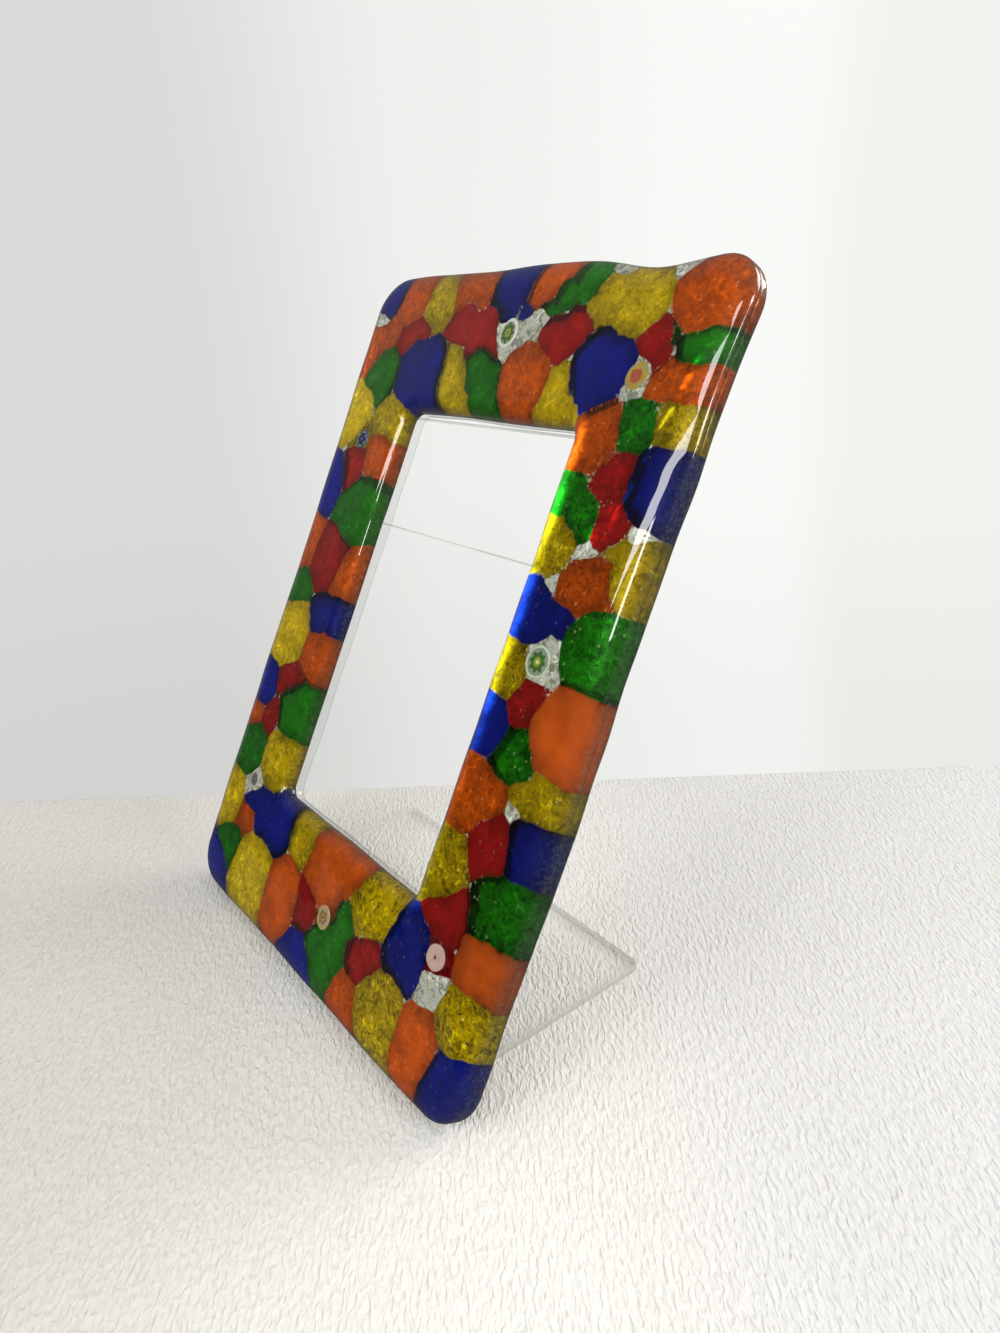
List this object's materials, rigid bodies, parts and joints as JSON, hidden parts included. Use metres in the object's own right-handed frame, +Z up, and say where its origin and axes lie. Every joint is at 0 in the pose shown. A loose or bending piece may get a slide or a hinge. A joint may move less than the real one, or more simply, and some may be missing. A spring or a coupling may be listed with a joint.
{
  "type": "picture frame",
  "caption": "Free-standing picture frame of fused mosaic glass tiles and cane slices on a clear ring, with a clear acrylic photo pocket and a bent acrylic leg.",
  "frame": {"origin": "middle of the foot's underside, on the table", "axes": "+Z up, +Y towards the back, +X to the right as seen from the front; the slab leans back 28 degrees"},
  "size_m": [0.144, 0.0989, 0.1781],
  "materials": {
    "glass_clear": "fire-polished, with silvery specks",
    "glass_orange": "fire-polished",
    "glass_red": "fire-polished",
    "glass_blue": "fire-polished",
    "glass_green": "fire-polished",
    "glass_yellow": "fire-polished, over crinkled foil",
    "glass_cane": "fire-polished, patterned through its thickness",
    "acrylic_clear": "polished clear sheet with bright edges"
  },
  "bodies": {
    "root": {"base_ring": "glass_clear", "top_orange_tile_1": "glass_orange", "top_orange_tile_2": "glass_orange", "top_orange_tile_3": "glass_orange", "top_yellow_tile_1": "glass_yellow", "top_yellow_tile_2": "glass_yellow", "top_red_tile_1": "glass_red", "top_blue_tile_1": "glass_blue", "top_blue_tile_2": "glass_blue", "top_blue_tile_3": "glass_blue", "top_green_tile_1": "glass_green", "top_green_tile_2": "glass_green", "left_yellow_tile_1": "glass_yellow", "left_yellow_tile_2": "glass_yellow", "left_yellow_tile_3": "glass_yellow", "left_yellow_tile_4": "glass_yellow", "left_blue_tile_1": "glass_blue", "left_blue_tile_2": "glass_blue", "left_green_tile_1": "glass_green", "left_green_tile_2": "glass_green", "left_green_tile_3": "glass_green", "left_orange_tile_1": "glass_orange", "left_orange_tile_2": "glass_orange", "left_red_tile_1": "glass_red", "bottom_yellow_tile_1": "glass_yellow", "bottom_yellow_tile_2": "glass_yellow", "bottom_yellow_tile_3": "glass_yellow", "bottom_yellow_tile_4": "glass_yellow", "bottom_blue_tile_1": "glass_blue", "bottom_blue_tile_2": "glass_blue", "bottom_blue_tile_3": "glass_blue", "bottom_orange_tile_1": "glass_orange", "bottom_orange_tile_2": "glass_orange", "bottom_orange_tile_3": "glass_orange", "bottom_green_tile_1": "glass_green", "right_orange_tile_1": "glass_orange", "right_orange_tile_2": "glass_orange", "right_orange_tile_3": "glass_orange", "right_orange_tile_4": "glass_orange", "right_green_tile_1": "glass_green", "right_green_tile_2": "glass_green", "right_yellow_tile_1": "glass_yellow", "right_blue_tile_1": "glass_blue", "right_blue_tile_2": "glass_blue", "right_blue_tile_3": "glass_blue", "cane_slice_top": "glass_cane", "cane_slice_top_right": "glass_cane", "cane_slice_right": "glass_cane", "cane_slice_bottom_right": "glass_cane", "cane_slice_bottom": "glass_cane", "cane_slice_bottom_left": "glass_cane", "cane_slice_left": "glass_cane", "left_spacer": "acrylic_clear", "right_spacer": "acrylic_clear", "floor_spacer": "acrylic_clear", "pocket_plate": "acrylic_clear", "bent_leg": "acrylic_clear"}
  },
  "joints": []
}
